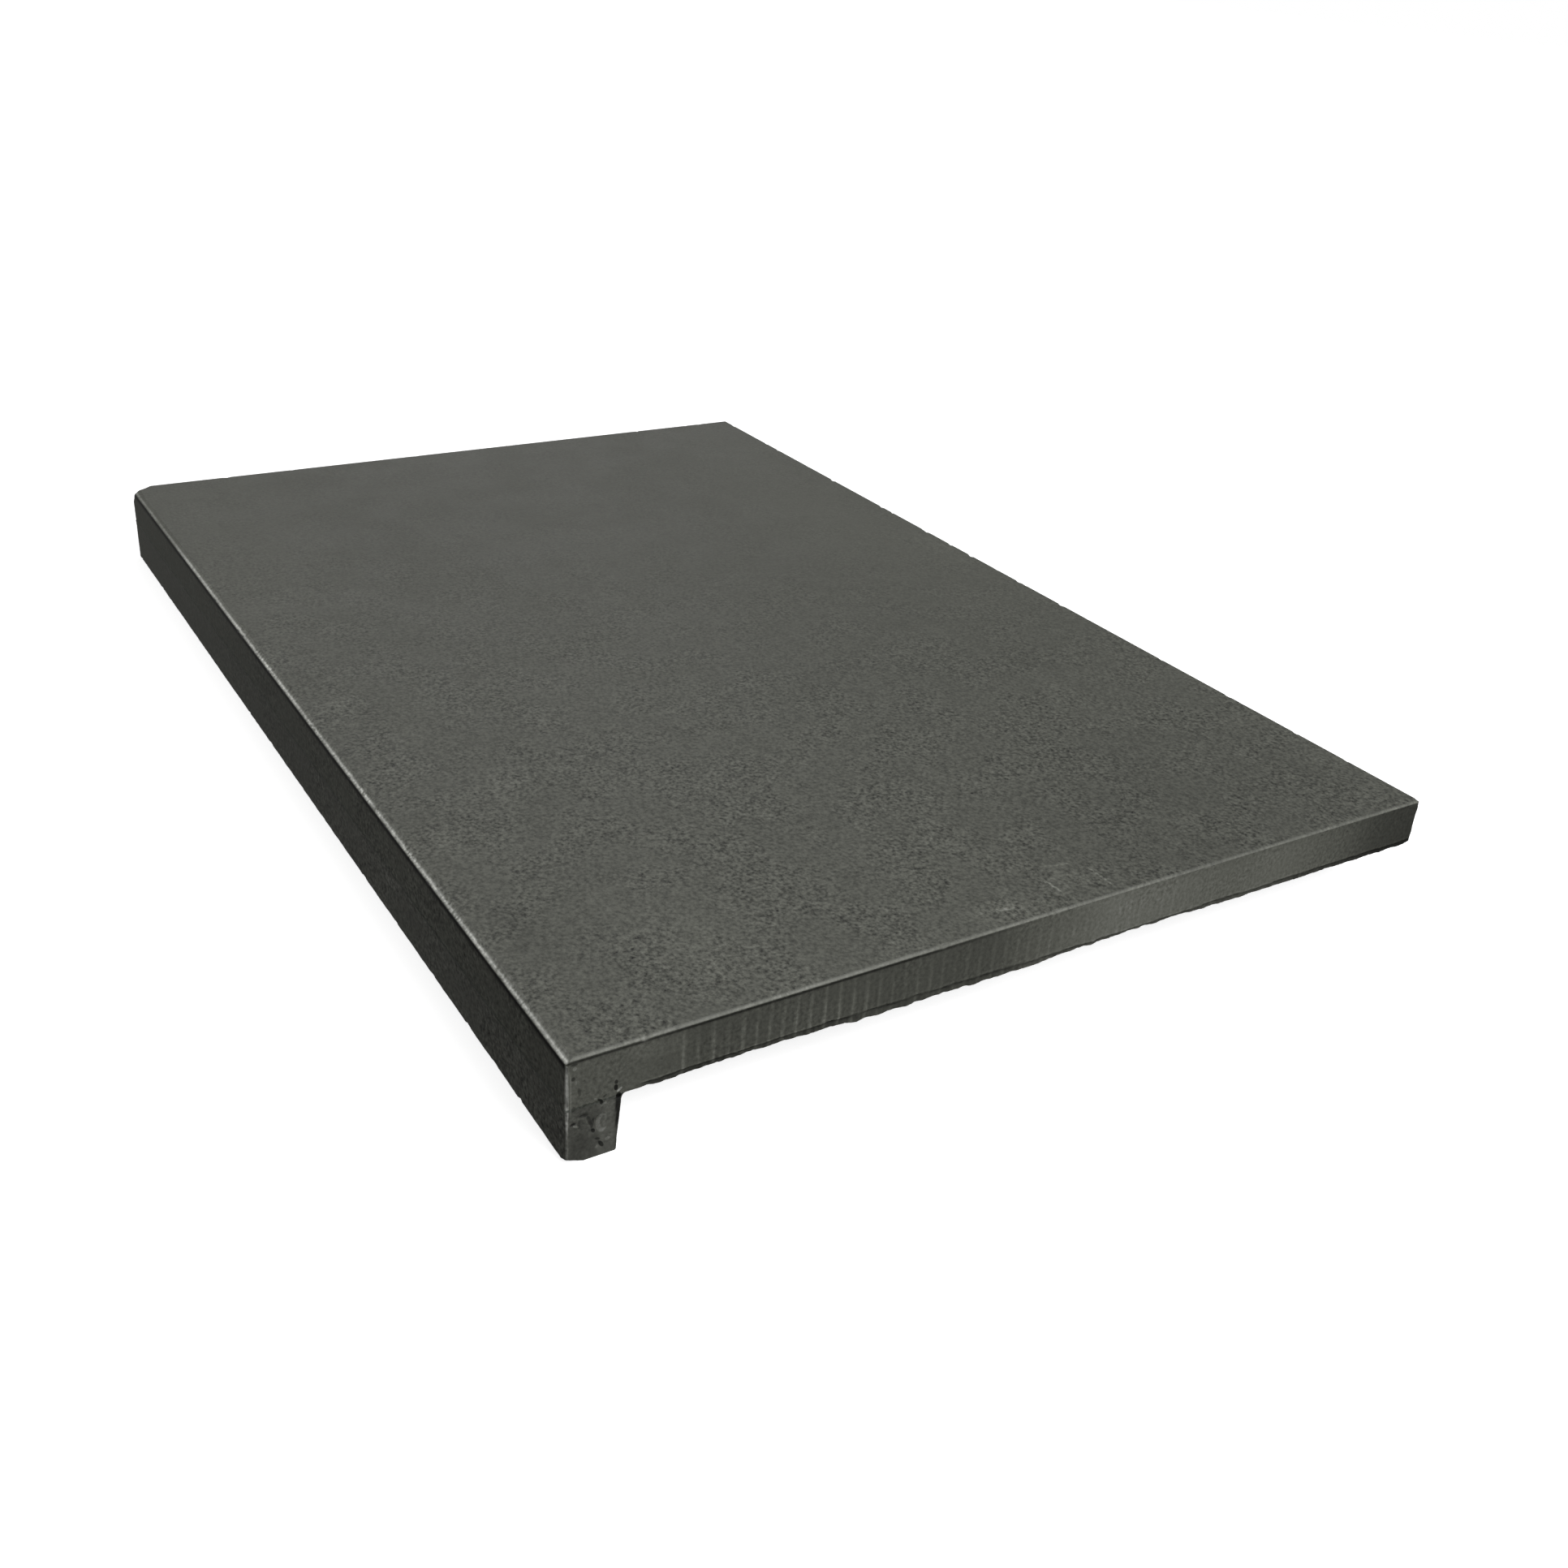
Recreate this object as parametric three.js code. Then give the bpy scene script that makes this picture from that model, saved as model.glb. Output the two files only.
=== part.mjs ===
// Drop-face coping tile: a sawn basalt slab with a basalt strip bonded under its front edge.
//
// Frame, in millimetres: +X along the finished front edge, +Y from the drop face to the back edge,
// +Z up out of the walking face. The origin is the middle of the tile's bounding box, at its foot.

import * as THREE from 'three';

// Driving dimensions.
const tileLength = 600;
const tileWidth = 400;
const slabThickness = 20;
const stripHeight = 22;
const stripThickness = 20;
const bondThickness = 1;

// Edge treatment.
const frontBevelRun = 2.7; // eased front edge, measured back over the walking face
const frontBevelDrop = 1.9; // the same bevel, measured down the drop face
const arris = 1; // 45 degree arris on the other top edges
const footArris = 1.2; // on the strip's outer bottom edge
const stripUndercut = 2; // how far the strip's inner face leans in by its foot

// Resin bead in the inner corner. Both legs start at the corner of slab and strip.
const beadRun = 3; // back along the slab's underside
const beadDrop = 3.5; // down from the slab's underside, over the bond and the strip
const beadSteps = 8;

// Levels and planes that follow from them.
const slabBottom = stripHeight + bondThickness;
const slabTop = slabBottom + slabThickness;
const frontY = -tileWidth / 2;
const backY = tileWidth / 2;
const endX = tileLength / 2;
const stripInnerY = frontY + stripThickness;
const beadBackY = stripInnerY + beadRun;
const beadFoot = slabBottom - beadDrop;

// One stone throughout, with a finer finish on the slab than on the strip, and a dark stone resin.
const basalt = new THREE.MeshStandardMaterial({ color: 0x5c5d56, roughness: 0.62, metalness: 0 });
const sawnBasalt = new THREE.MeshStandardMaterial({ color: 0x575852, roughness: 0.8, metalness: 0 });
const resin = new THREE.MeshStandardMaterial({ color: 0x35372f, roughness: 0.4, metalness: 0 });

// A straight bar of the given section, centred on X. The section's points are [y, z] pairs.
function bar(section) {
  const shape = new THREE.Shape(section.map(([y, z]) => new THREE.Vector2(y, z)));
  const geometry = new THREE.ExtrudeGeometry(shape, { depth: tileLength, bevelEnabled: false });
  const alongX = new THREE.Matrix4().makeBasis(
    new THREE.Vector3(0, 1, 0),
    new THREE.Vector3(0, 0, 1),
    new THREE.Vector3(1, 0, 0),
  );
  geometry.applyMatrix4(alongX);
  geometry.translate(-endX, 0, 0);
  return geometry;
}

// A closed convex solid through a row of rings, with x rising from ring to ring. Each ring holds the
// same number of points, anticlockwise seen from +X, and neighbours meet where an edge runs out.
function loft(rings) {
  const corners = [];
  const addTriangle = (a, b, c) => {
    if (!a.equals(b) && !b.equals(c) && !c.equals(a)) corners.push(a, b, c);
  };
  for (let i = 1; i < rings.length; i += 1) {
    const here = rings[i - 1];
    const next = rings[i];
    for (let j = 0; j < here.length; j += 1) {
      const k = (j + 1) % here.length;
      addTriangle(here[j], here[k], next[j]);
      addTriangle(here[k], next[k], next[j]);
    }
  }
  const first = rings[0];
  const last = rings[rings.length - 1];
  for (let j = 2; j < first.length; j += 1) {
    addTriangle(first[0], first[j], first[j - 1]);
    addTriangle(last[0], last[j - 1], last[j]);
  }
  return new THREE.BufferGeometry().setFromPoints(corners);
}

function named(name, geometry, material) {
  const mesh = new THREE.Mesh(geometry, material);
  mesh.name = name;
  return mesh;
}

// The slab's outline at x, where topCut is how much the end arris takes off the top there. The
// underside has a corner where the resin bead stops, so that the bedding face stands by itself.
function slabRing(x, topCut) {
  const bevelCut = topCut * frontBevelRun / frontBevelDrop;
  const outline = [
    [backY, slabTop - arris],
    [backY - arris + topCut, slabTop - topCut],
    [frontY + frontBevelRun - bevelCut, slabTop - topCut],
    [frontY, slabTop - frontBevelDrop],
    [frontY, slabBottom],
    [beadBackY, slabBottom],
    [backY, slabBottom],
  ];
  return outline.map(([y, z]) => new THREE.Vector3(x, y, z));
}

function topSlab() {
  const rings = [
    slabRing(-endX, arris),
    slabRing(-endX + arris, 0),
    slabRing(endX - arris, 0),
    slabRing(endX, arris),
  ];
  return named('top_slab', loft(rings), basalt);
}

// The strip stands under the slab's front edge. Its inner face is upright behind the resin bead
// and leans in below it.
function dropStrip() {
  const section = [
    [frontY, footArris],
    [frontY + footArris, 0],
    [stripInnerY - stripUndercut, 0],
    [stripInnerY, beadFoot],
    [stripInnerY, stripHeight],
    [frontY, stripHeight],
  ];
  return named('drop_strip', bar(section), sawnBasalt);
}

// The bond fills the joint out to the drop face and ends in a hollow bead in the inner corner.
function epoxyBond() {
  const section = [
    [frontY, slabBottom],
    [frontY, stripHeight],
    [stripInnerY, stripHeight],
  ];
  for (let i = 0; i <= beadSteps; i += 1) {
    const turn = (i / beadSteps) * (Math.PI / 2);
    const y = stripInnerY + beadRun * (1 - Math.cos(turn));
    const z = beadFoot + beadDrop * Math.sin(turn);
    section.push([y, z]);
  }
  return named('epoxy_bond', bar(section), resin);
}

const tile = new THREE.Group();
tile.add(topSlab(), dropStrip(), epoxyBond());

export default tile;
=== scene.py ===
"""Looks of the drop-face coping tile: a honed slab, a strip and the resin that bonds them.

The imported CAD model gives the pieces' places and sizes. Lengths here are in millimetres until a
mesh, light or camera is made, and MM turns them into metres. The front is at -Y, the near end at +X
and the far end at -X. Damage only takes stone away, except along the ends' broken lower edges,
which hang a little below the underside.

The last positional number in a call of noise, rough_noise, striation or bites is its seed.
"""

import math
from types import SimpleNamespace

import bpy
import numpy as np
from mathutils import Matrix, Vector


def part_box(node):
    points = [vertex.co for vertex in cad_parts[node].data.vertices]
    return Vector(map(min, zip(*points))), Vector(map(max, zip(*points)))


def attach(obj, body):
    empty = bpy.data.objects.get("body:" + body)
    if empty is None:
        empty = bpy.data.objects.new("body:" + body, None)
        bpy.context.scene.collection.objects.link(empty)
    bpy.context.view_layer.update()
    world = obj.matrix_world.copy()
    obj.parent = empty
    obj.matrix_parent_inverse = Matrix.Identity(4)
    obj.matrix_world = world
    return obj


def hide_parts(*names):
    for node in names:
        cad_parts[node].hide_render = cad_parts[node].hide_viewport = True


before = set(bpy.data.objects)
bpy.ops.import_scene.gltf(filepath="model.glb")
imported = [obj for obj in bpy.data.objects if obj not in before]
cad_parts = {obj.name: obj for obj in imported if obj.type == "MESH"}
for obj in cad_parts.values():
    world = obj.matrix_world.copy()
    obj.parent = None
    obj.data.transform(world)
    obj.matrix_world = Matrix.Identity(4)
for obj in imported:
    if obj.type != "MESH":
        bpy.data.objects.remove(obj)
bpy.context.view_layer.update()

MM = 0.001


def box_mm(node):
    """A CAD node's lowest and highest corner, in millimetres."""
    low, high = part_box(node)
    return np.array(low) / MM, np.array(high) / MM


SLAB_LOW, SLAB_HIGH = box_mm("top_slab")
STRIP_LOW, STRIP_HIGH = box_mm("drop_strip")
BOND_LOW, BOND_HIGH = box_mm("epoxy_bond")
HALF_LENGTH = SLAB_HIGH[0]
FRONT, BACK = SLAB_LOW[1], SLAB_HIGH[1]
TOP, UNDERSIDE = SLAB_HIGH[2], SLAB_LOW[2]
THICKNESS = TOP - UNDERSIDE
STRIP_INNER = STRIP_HIGH[1]
BEAD_BACK, BEAD_FOOT = BOND_HIGH[1], BOND_LOW[2]

# The CAD model's edge treatment, which the boxes can't give.
BEVEL_RUN, BEVEL_DROP = 2.7, 1.9
ARRIS = 1.0
FOOT_ARRIS = 1.2
UNDERCUT = 2.0

# Stone colours, linear.
HONED = (0.0927, 0.0950, 0.0805)
SAWN = (0.0880, 0.0895, 0.0775)
RESIN = (0.0330, 0.0360, 0.0290)
GRAIN_SIZE = 1.5
ROUGHNESS_CHANGE = 0.025  # from patch to patch


# ---- Repeatable noise and masks, on arrays of millimetres ----

NOISE_CELLS = 256
CHIP_HALF_WIDTHS = (0.7, 2.6)


def smooth(t):
    """0 to 1 with level ends."""
    t = np.clip(t, 0, 1)
    return t * t * (3 - 2 * t)


def noise(u, v, seed):
    """Smooth repeatable noise, -1 to 1, with one cell to each unit of u and v."""
    table = np.random.default_rng(seed).uniform(-1, 1, (NOISE_CELLS, NOISE_CELLS))
    u, v = np.broadcast_arrays(np.asarray(u, float), np.asarray(v, float))
    i, j = np.floor(u).astype(int), np.floor(v).astype(int)
    a, b = smooth(u - i), smooth(v - j)
    i0, i1 = i % NOISE_CELLS, (i + 1) % NOISE_CELLS
    j0, j1 = j % NOISE_CELLS, (j + 1) % NOISE_CELLS
    low = table[i0, j0] * (1 - a) + table[i1, j0] * a
    high = table[i0, j1] * (1 - a) + table[i1, j1] * a
    return low * (1 - b) + high * b


def rough_noise(u, v, seed, octaves=3):
    """Noise with finer and weaker noise added to it."""
    total = 0
    for octave in range(octaves):
        scale = 2**octave
        total = total + noise(u * scale, v * scale, seed + octave) / scale
    return total / 1.5


def between(x, start, end, fade):
    """1 from start to end, falling to 0 over the fade outside them."""
    return smooth((x - start) / fade + 1) * smooth((end - x) / fade + 1)


def bites(along, start, end, spacing, deepest, seed):
    """Depth of the chips along an edge: one to each spacing, most of them small."""
    random = np.random.default_rng(seed)
    depth = np.zeros(np.shape(along))
    for place in np.arange(start, end, spacing):
        centre = place + random.uniform(0, spacing)
        half_width = random.uniform(*CHIP_HALF_WIDTHS)
        size = deepest * random.random() ** 3
        depth = np.maximum(depth, size * np.clip(1 - ((along - centre) / half_width) ** 2, 0, 1))
    return depth


# ---- Saw marks and tone of the sawn faces ----

# A place along an end is given in the saw's direction: from front to back on the near end, which
# is the slab's right side here, and from back to front on the far end, its left side.
STRIA_PITCH = 5.57  # between saw marks
STRIA_PLACE = -118.2  # of one of them on an end
STRIA_DEPTH = 0.10
RIDGE_SHARPNESS = 7
FAINT_RIDGE = 0.22
MARKED_START, MARKED_END = -156.0, -3.0  # the stretch of an end that the saw left grooved
MOTTLED_END = 60.0
RIGHT_SEED, LEFT_SEED, BACK_SEED = 81, 91, 101


def striation(along, z, seed):
    """Saw marks on a sawn face, from 0 to about 1: even upright ridges with fainter ones between."""
    wander = 0.07 * noise(z / 14, along / 30, seed) + 0.13 * noise(along / 22, 0, seed + 1)
    wave = np.cos(2 * math.pi * ((along - STRIA_PLACE) / STRIA_PITCH + wander))
    ridge = ((1 + wave) / 2) ** RIDGE_SHARPNESS
    ridge = ridge + FAINT_RIDGE * ((1 - wave) / 2) ** RIDGE_SHARPNESS
    fading_up = 1.15 - 0.65 * smooth((z - 30) / 9)
    strength = (0.68 + 0.32 * noise(along / 5, 3, seed + 2)) * fading_up
    return ridge * strength * (0.8 + 0.2 * noise(z / 4, along / 3, seed + 3))


def end_striation(along, z, sign):
    return striation(along, z, RIGHT_SEED if sign > 0 else LEFT_SEED)


def marked(along, z):
    """How strongly the saw marks show along an end: grooved, then mottled, then smooth."""
    grooved = between(along, MARKED_START, MARKED_END, 8)
    grooved = grooved * (1.15 - 0.65 * smooth((along + 125) / 110))
    mottled = between(along, MARKED_END, MOTTLED_END, 20)
    patchy = 0.5 + 0.5 * noise(along / 11, z / 6, 41)
    return np.maximum(grooved, 0.5 * mottled * patchy)


def painted_end_light(along):
    """Painted light and shade along an end, standing in for the light that falls on it: darker over
    the grooved stretch, brightest past the middle and darkest at the back.
    """
    places = (-200, -172, -150, -60, -30, 0, 30, 60, 90, 120, 150, 175, 200)
    tones = (1.36, 1.30, 0.88, 0.92, 0.88, 1.42, 1.95, 1.80, 1.62, 1.70, 1.26, 0.68, 0.50)
    return np.interp(along, places, tones)


# ---- Meshes ----

TONE = "tone"


def stone_object(name, points, faces, tones, smooth_angle):
    """A mesh object from points in millimetres, with each point's tone as an attribute."""
    mesh = bpy.data.meshes.new(name)
    mesh.from_pydata((points * MM).tolist(), [], faces)
    mesh.validate()
    attribute = mesh.attributes.new(TONE, "FLOAT", "POINT")
    attribute.data.foreach_set("value", tones.astype(np.float32))
    mesh.shade_smooth()
    mesh.set_sharp_from_angle(angle=math.radians(smooth_angle))
    made = bpy.data.objects.new(name, mesh)
    bpy.context.scene.collection.objects.link(made)
    return made


# ---- Slab: rings of points from the walking face over its edge to its underside, and two grids ----

CELLS_X, CELLS_Y = 60, 40  # grid cells across the walking face and the underside
FRONT_SIDE, RIGHT_SIDE, BACK_SIDE, LEFT_SIDE = range(4)
CELL_STATIONS = (10, 12, 8, 12)  # edge points to a cell, on each side
TOP_MARGINS = (5, 3.2, 2, 1.1, 0.45, 0)  # from the edge's own rounding
EDGE_DEPTHS = (0.12, 0.3, 0.5, 0.75, 1.0, 1.3, 1.6, 1.88, 2.02, 2.35, 2.8, 3.4)
SIDE_STEP = 1.5
LIP_TOP = 2.3  # above the underside: the ends' snapped lips start at about this height or lower
LIP_ROWS = 8
UNDER_MARGINS = (0.4, 0.9, 1.6, 2.6, 4, 6, 8.5)
EDGE_ROUND = 1.10  # 1 is a flat bevel and 2 a quarter circle

SCALLOP_PITCH = 11.5  # of the slight waves that the edging tool left along the front bevel
CORNER_CHIP = (8.5, 12.0, 9.0)  # along the front edge, along the end and down


def edge_inset(depth, run, drop):
    """How far an eased edge stands in from its side, at a depth below the top."""
    share = np.clip(depth / drop, 0, 1)
    return run * (1 - share**EDGE_ROUND) ** (1 / EDGE_ROUND)


def slab_rows():
    """Each row's inset at the front, its inset at the other sides, and its depth below the top."""
    depths = [0.0] * len(TOP_MARGINS) + list(EDGE_DEPTHS)
    margins = list(TOP_MARGINS) + [0.0] * len(EDGE_DEPTHS)
    side_end = THICKNESS - LIP_TOP - 0.5
    steps = round((side_end - EDGE_DEPTHS[-1]) / SIDE_STEP)
    side = np.linspace(EDGE_DEPTHS[-1], side_end, steps + 1)[1:]
    lip = np.linspace(THICKNESS - LIP_TOP - 0.1, THICKNESS, LIP_ROWS)
    depths += [*side, *lip] + [THICKNESS] * len(UNDER_MARGINS)
    margins += [0.0] * (len(side) + len(lip)) + list(UNDER_MARGINS)
    depths, margins = np.array(depths), np.array(margins)
    front = edge_inset(depths, BEVEL_RUN, BEVEL_DROP) + margins
    others = edge_inset(depths, ARRIS, ARRIS) + margins
    return front, others, depths


def slab_rings():
    """Points of every ring, shaped (rows, stations, 3), and each station's side."""
    front, others, depths = slab_rows()
    x_low, x_high = -HALF_LENGTH + others, HALF_LENGTH - others
    y_low, y_high = FRONT + front, BACK - others
    stretches, sides = [], []
    ends = (
        ((x_low, y_low), (x_high, y_low), CELLS_X),
        ((x_high, y_low), (x_high, y_high), CELLS_Y),
        ((x_high, y_high), (x_low, y_high), CELLS_X),
        ((x_low, y_high), (x_low, y_low), CELLS_Y),
    )
    for side, (start, end, cells) in enumerate(ends):
        count = cells * CELL_STATIONS[side]
        share = np.arange(count) / count
        x = start[0][:, None] + np.outer(end[0] - start[0], share)
        y = start[1][:, None] + np.outer(end[1] - start[1], share)
        z = np.repeat((TOP - depths)[:, None], count, axis=1)
        stretches.append(np.stack([x, y, z], axis=-1))
        sides += [side] * count
    rings = np.concatenate(stretches, axis=1)
    return rings, np.array(sides), depths


def clamp_edge(points, inset, axis, sign, limit, run, drop):
    """Cuts an upper edge back to a plane that stands at limit (1 is the plain bevel)."""
    below = TOP - points[..., 2]
    over = np.clip(limit - inset / run - below / drop, 0, None) / 2
    near = inset < 4 * run
    points[..., axis] -= sign * over * run * near
    points[..., 2] -= over * drop * near


def wear_top_edges(points):
    """Eases and chips the four upper edges."""
    x, y = points[..., 0].copy(), points[..., 1].copy()
    scallop = 0.09 * np.cos(2 * math.pi * (x / SCALLOP_PITCH + 0.4 * noise(x / 40, 0, 14)))
    wave = scallop + 0.045 * noise(x / 6, 0, 11) + 0.03 * noise(x / 1.7, 0, 12)
    limit = 0.92 + wave + bites(x, -HALF_LENGTH, HALF_LENGTH, 11, 0.55, 13)
    clamp_edge(points, y - FRONT, 1, -1, limit, BEVEL_RUN, BEVEL_DROP)
    for sign, seed in ((1, 21), (-1, 24)):
        limit = 0.88 + 0.10 * rough_noise(y / 5, 0, seed) + bites(y, FRONT, BACK, 17, 1.1, seed + 1)
        clamp_edge(points, HALF_LENGTH - sign * x, 0, sign, limit, ARRIS, ARRIS)
    chips = bites(x, -HALF_LENGTH, HALF_LENGTH, 15, 1.2, 28)
    limit = 0.88 + 0.10 * rough_noise(x / 5, 0, 27) + chips
    clamp_edge(points, BACK - y, 1, 1, limit, ARRIS, ARRIS)


def wear_upright_edges(points):
    """Eases and chips the four upright corners."""
    z = points[..., 2].copy()
    corners = ((1, FRONT, -1, 31), (-1, FRONT, -1, 32), (1, BACK, 1, 33), (-1, BACK, 1, 34))
    for x_sign, y_plane, y_sign, seed in corners:
        x_inset = HALF_LENGTH - x_sign * points[..., 0]
        y_inset = y_sign * (y_plane - points[..., 1])
        chips = bites(z, UNDERSIDE, TOP, 6, 0.6, seed + 4)
        limit = 0.55 + 0.25 * rough_noise(z / 3, 0, seed) + chips
        over = np.clip(limit - x_inset - y_inset, 0, None) / 2
        points[..., 0] -= x_sign * over
        points[..., 1] -= y_sign * over


def break_off(points, corner, normal, rough):
    """Breaks a corner off along a rough slanting plane, and says which points that moved."""
    over = np.clip(1 + rough - (points - np.array(corner)) @ normal, 0, None)
    points += over[..., None] * normal / (normal @ normal)
    return over > 0


def break_far_corner(points):
    normal = np.array([1, 1, -1]) / np.array(CORNER_CHIP)
    rough = 0.05 * rough_noise(points[..., 1] / 2.5, points[..., 2] / 2.5, 51)
    return break_off(points, (-HALF_LENGTH, FRONT, TOP), normal, rough)


def lip_start(along):
    """How far above the underside an end's saw cut stops."""
    places = (-176, -115, -90, -20, 5, 60, 80, 200)
    heights = (1.6, 2.1, 1.9, 1.7, 1.2, 1.0, 1.5, 1.6)
    return np.interp(along, places, heights)


def lip_hang(along):
    """How far an end's broken lower edge hangs below the underside."""
    places = (-176, -160, -145, -115, -100, -86, -12, 2, 20, 65, 80, 200)
    drops = (0.2, 0.8, 0.3, 0.0, 0.9, 1.9, 2.1, 1.4, 0.9, 0.4, 1.2, 1.2)
    return np.interp(along, places, drops)


def end_lip(y, sign):
    """How an end's snapped lip runs: whether it is there, where it starts above the underside, how
    deep it is cut back, and how far its broken edge hangs below the underside."""
    seed = 61 if sign > 0 else 71
    present = smooth((y + 176) / 6)
    start = lip_start(sign * y) + 0.25 * rough_noise(y / 9, 0, seed)
    depth = present * (0.40 + 0.28 * rough_noise(y / 3.1, 0, seed + 1))
    raggedness = 0.55 - 0.30 * smooth((sign * y - 60) / 40)
    ragged = raggedness * rough_noise(y / 5.2, 0, seed + 2, octaves=4)
    hang = present * (lip_hang(sign * y) + ragged)
    return present, start, np.clip(depth, 0, None), hang


def cut_ends(points, sides, depths):
    """Grooves the two sawn ends, and snaps and roughens the last of their height."""
    for side, sign in ((RIGHT_SIDE, 1), (LEFT_SIDE, -1)):
        on_end = sides == side
        part = points[:, on_end]
        y, z = part[..., 1], part[..., 2]
        order = sign * y
        corner_fade = smooth((y - FRONT - 0.5) / 3) * smooth((BACK - y - 0.5) / 3)
        body = smooth((TOP - z - ARRIS) / 1.5) * corner_fade
        groove = STRIA_DEPTH * (1 - end_striation(order, z, sign)) * marked(order, z)
        inset = body * groove
        present, start, depth, hang = end_lip(y, sign)
        height = z - UNDERSIDE
        in_lip = smooth((start - height) / 0.25) * present * corner_fade
        crumble = 0.20 * rough_noise(y / 1.1, z / 0.8, 65)
        inset = inset + in_lip * (depth + crumble).clip(0.1)
        share = np.clip(1 - height / LIP_TOP, 0, 1)
        under = (depths >= THICKNESS)[:, None]
        inward = HALF_LENGTH - sign * part[..., 0]
        drop = np.where(under, np.exp(-((inward / 3.5) ** 2)), share) * hang * corner_fade
        part[..., 2] -= drop
        part[..., 0] -= sign * inset * np.where(under, np.exp(-inward / 3), 1)
        points[:, on_end] = part


def cut_back(points, sides, depths):
    """Grooves the sawn back edge and roughens its lower edge."""
    on_back = sides == BACK_SIDE
    part = points[:, on_back]
    x, z = part[..., 0], part[..., 2]
    corner_fade = smooth((HALF_LENGTH - np.abs(x) - 0.5) / 3)
    body = smooth((TOP - z - ARRIS) / 1.5) * corner_fade
    groove = STRIA_DEPTH * (1 - striation(x, z, BACK_SEED))
    groove = groove * (0.35 + 0.35 * noise(x / 60, 0, 105))
    start = 1.3 + 0.5 * rough_noise(x / 8, 0, 106)
    snapped = smooth((start - (z - UNDERSIDE)) / 0.25) * corner_fade
    depth = 0.45 + 0.45 * rough_noise(x / 3, z / 2, 107)
    inward = BACK - part[..., 1]
    under = (depths >= THICKNESS)[:, None]
    inset = body * groove + snapped * depth.clip(0)
    part[..., 1] -= inset * np.where(under, np.exp(-inward / 3), 1)
    points[:, on_back] = part


def undulate(points, on_top):
    """The walking face is honed nearly flat, and dips at most a tenth of a millimetre."""
    x, y = points[..., 0], points[..., 1]
    dip = 0.05 * (1 + noise(x / 45, y / 45, 111))
    inside = smooth((HALF_LENGTH - np.abs(x) - 3) / 12) * smooth((BACK - np.abs(y) - 3) / 12)
    points[..., 2] -= np.where(on_top, dip * inside, 0)


def drop_face_tone(x):
    """Tone of the finished drop face along its length."""
    return 0.90 + 0.17 * smooth((x + 20) / 140)


def front_edge_tone(x, depth):
    """The front bevel is paler, from wear and from a painted highlight, most of all near its lower
    edge. Below that runs a painted shadow line.
    """
    fullness = 0.85 + 0.35 * rough_noise(x / 7, 0, 121)
    # Pale band near the bevel's lower edge: wear and a painted highlight.
    wear_and_highlight = np.exp(-(((depth - 1.36) / 0.33) ** 2)) * fullness
    bevel = between(depth, 0.1, 1.5, 0.3)
    share = 0.34 + 0.71 * smooth((x + 215) / 60)
    face = smooth((depth - 1.6) / 0.22)
    # Painted shadow line just under the bevel.
    dull = np.exp(-(((depth - 2.7) / 1.2) ** 2))
    pale = 1 + (0.50 * bevel + 5.2 * wear_and_highlight) * share
    return pale * (1 - face) + 0.95 * drop_face_tone(x) * (1 - 0.97 * dull) * face


def lip_tone(y, depth, sign):
    """A painted highlight where an end's saw cut stops, a painted shadow line just under it, and
    painted shade on the broken lip below, which faces down.
    """
    present, start, _, hang = end_lip(y, sign)
    height = THICKNESS - depth
    # Painted highlight just above where the saw cut stops.
    ledge_highlight = np.exp(-(((height - start - 0.25) / 0.35) ** 2)) * present
    snapped = smooth((start - height) / 0.3) * present
    # Painted shadow line just below where the saw cut stops.
    cut_shadow_line = np.exp(-(((start - height - 0.3) / 0.4) ** 2)) * present
    near_leg = 1 - smooth((sign * y + 145) / 15)
    # Painted shade on the lip, which faces down.
    shade = 0.42 - 0.25 * smooth((hang - 1.3) / 0.4) + 0.15 * smooth((sign * y - 100) / 40)
    shade = shade + 0.12 * near_leg
    # Strength of the painted highlight, most near the leg.
    pale = 0.30 + 0.30 * (1 - smooth((sign * y + 120) / 40))
    return (1 + pale * ledge_highlight) * (1 - shade * snapped) * (1 - (0.3 + 0.15 * near_leg) * cut_shadow_line)


def end_tone(y, z, depth, sign):
    """Tone of a sawn end: its arris, with wear and a painted highlight along it, the painted shadow
    line under that, a painted highlight down its front corner, painted light and shade along it, the
    saw marks and the lip.
    """
    order = sign * y
    towards_front = 1 - smooth((order + 130) / 150)
    fullness = 0.85 + 0.4 * rough_noise(order / 8, 0, 125)
    # The arris: wear and a painted highlight.
    arris = np.exp(-(((depth - 0.65) / 0.30) ** 2)) * (0.80 + 0.32 * towards_front) * fullness
    # Painted shadow line under the arris, strongest towards the front.
    line = np.exp(-(((depth - 1.75) / 0.55) ** 2)) * (0.80 - 0.85 * smooth((order + 75) / 80))
    crest = end_striation(order, z, sign) * marked(order, z)
    # Painted highlight down the front corner.
    corner_highlight = np.exp(-(((y - FRONT - 0.2) / 0.6) ** 2)) * smooth((depth - 1.2) / 1)
    body = painted_end_light(order) * (1 + 1.25 * crest) * (1 - line) * lip_tone(y, depth, sign)
    body = body * (1 + 1.4 * corner_highlight)
    face = smooth((depth - 0.9) / 0.4)
    return (1 + arris) * (1 - face) + body * face


def back_tone(x, z, depth):
    """Tone of the sawn back edge."""
    arris = np.exp(-(((depth - 0.55) / 0.4) ** 2))
    face = smooth((depth - 0.9) / 0.4)
    body = 0.95 + 0.08 * noise(x / 40, 0, 131) + 0.15 * striation(x, z, BACK_SEED)
    snapped = smooth((1.3 - (THICKNESS - depth)) / 0.5)
    return (1 + 0.25 * arris) * (1 - face) + body * (1 - 0.25 * snapped) * face


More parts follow.
